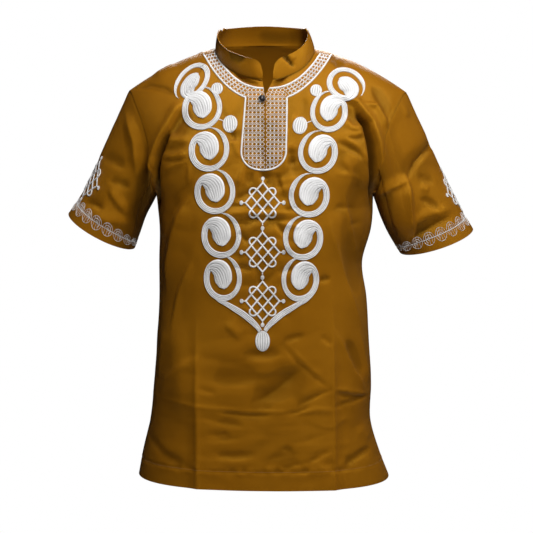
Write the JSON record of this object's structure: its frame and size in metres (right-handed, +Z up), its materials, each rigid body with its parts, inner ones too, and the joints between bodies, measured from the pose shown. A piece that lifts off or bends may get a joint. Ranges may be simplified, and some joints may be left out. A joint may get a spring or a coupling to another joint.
{
  "type": "short-sleeved dashiki shirt",
  "caption": "Straight pull-on dashiki shirt with short sleeves, a low standing collar, a buttoned neck slit and raised scroll and knot embroidery.",
  "frame": {"origin": "middle of the neck base, at the height where the shoulder seams meet the collar", "axes": "+Z up, the front faces -Y, the wearer's left sleeve is at +X"},
  "size_m": [0.6902, 0.281, 0.7644],
  "materials": {
    "cloth": "smooth mustard satin weave with a soft sheen",
    "embroidery": "dense white embroidery thread with a soft shine",
    "button": "polished dark brown",
    "loop_thread": "twisted brown thread"
  },
  "bodies": {
    "root": {"front": "cloth", "back": "cloth", "sleeve_left": "cloth", "sleeve_right": "cloth", "collar": "cloth", "button": "button", "button_loop": "loop_thread", "bib_border": "embroidery", "neck_line_left": "embroidery", "neck_line_right": "embroidery", "dot_left": "embroidery", "dot_right": "embroidery", "oval_left": "embroidery", "oval_right": "embroidery", "drop": "embroidery", "tail_left": "embroidery", "tail_right": "embroidery", "scroll_left_1": "embroidery", "scroll_left_2": "embroidery", "scroll_left_3": "embroidery", "scroll_left_4": "embroidery", "scroll_left_5": "embroidery", "scroll_left_6": "embroidery", "scroll_right_1": "embroidery", "scroll_right_2": "embroidery", "scroll_right_3": "embroidery", "scroll_right_4": "embroidery", "scroll_right_5": "embroidery", "scroll_right_6": "embroidery", "knot_front_1": "embroidery", "knot_front_2": "embroidery", "knot_front_3": "embroidery", "knot_sleeve_left": "embroidery", "knot_sleeve_right": "embroidery"}
  },
  "joints": []
}
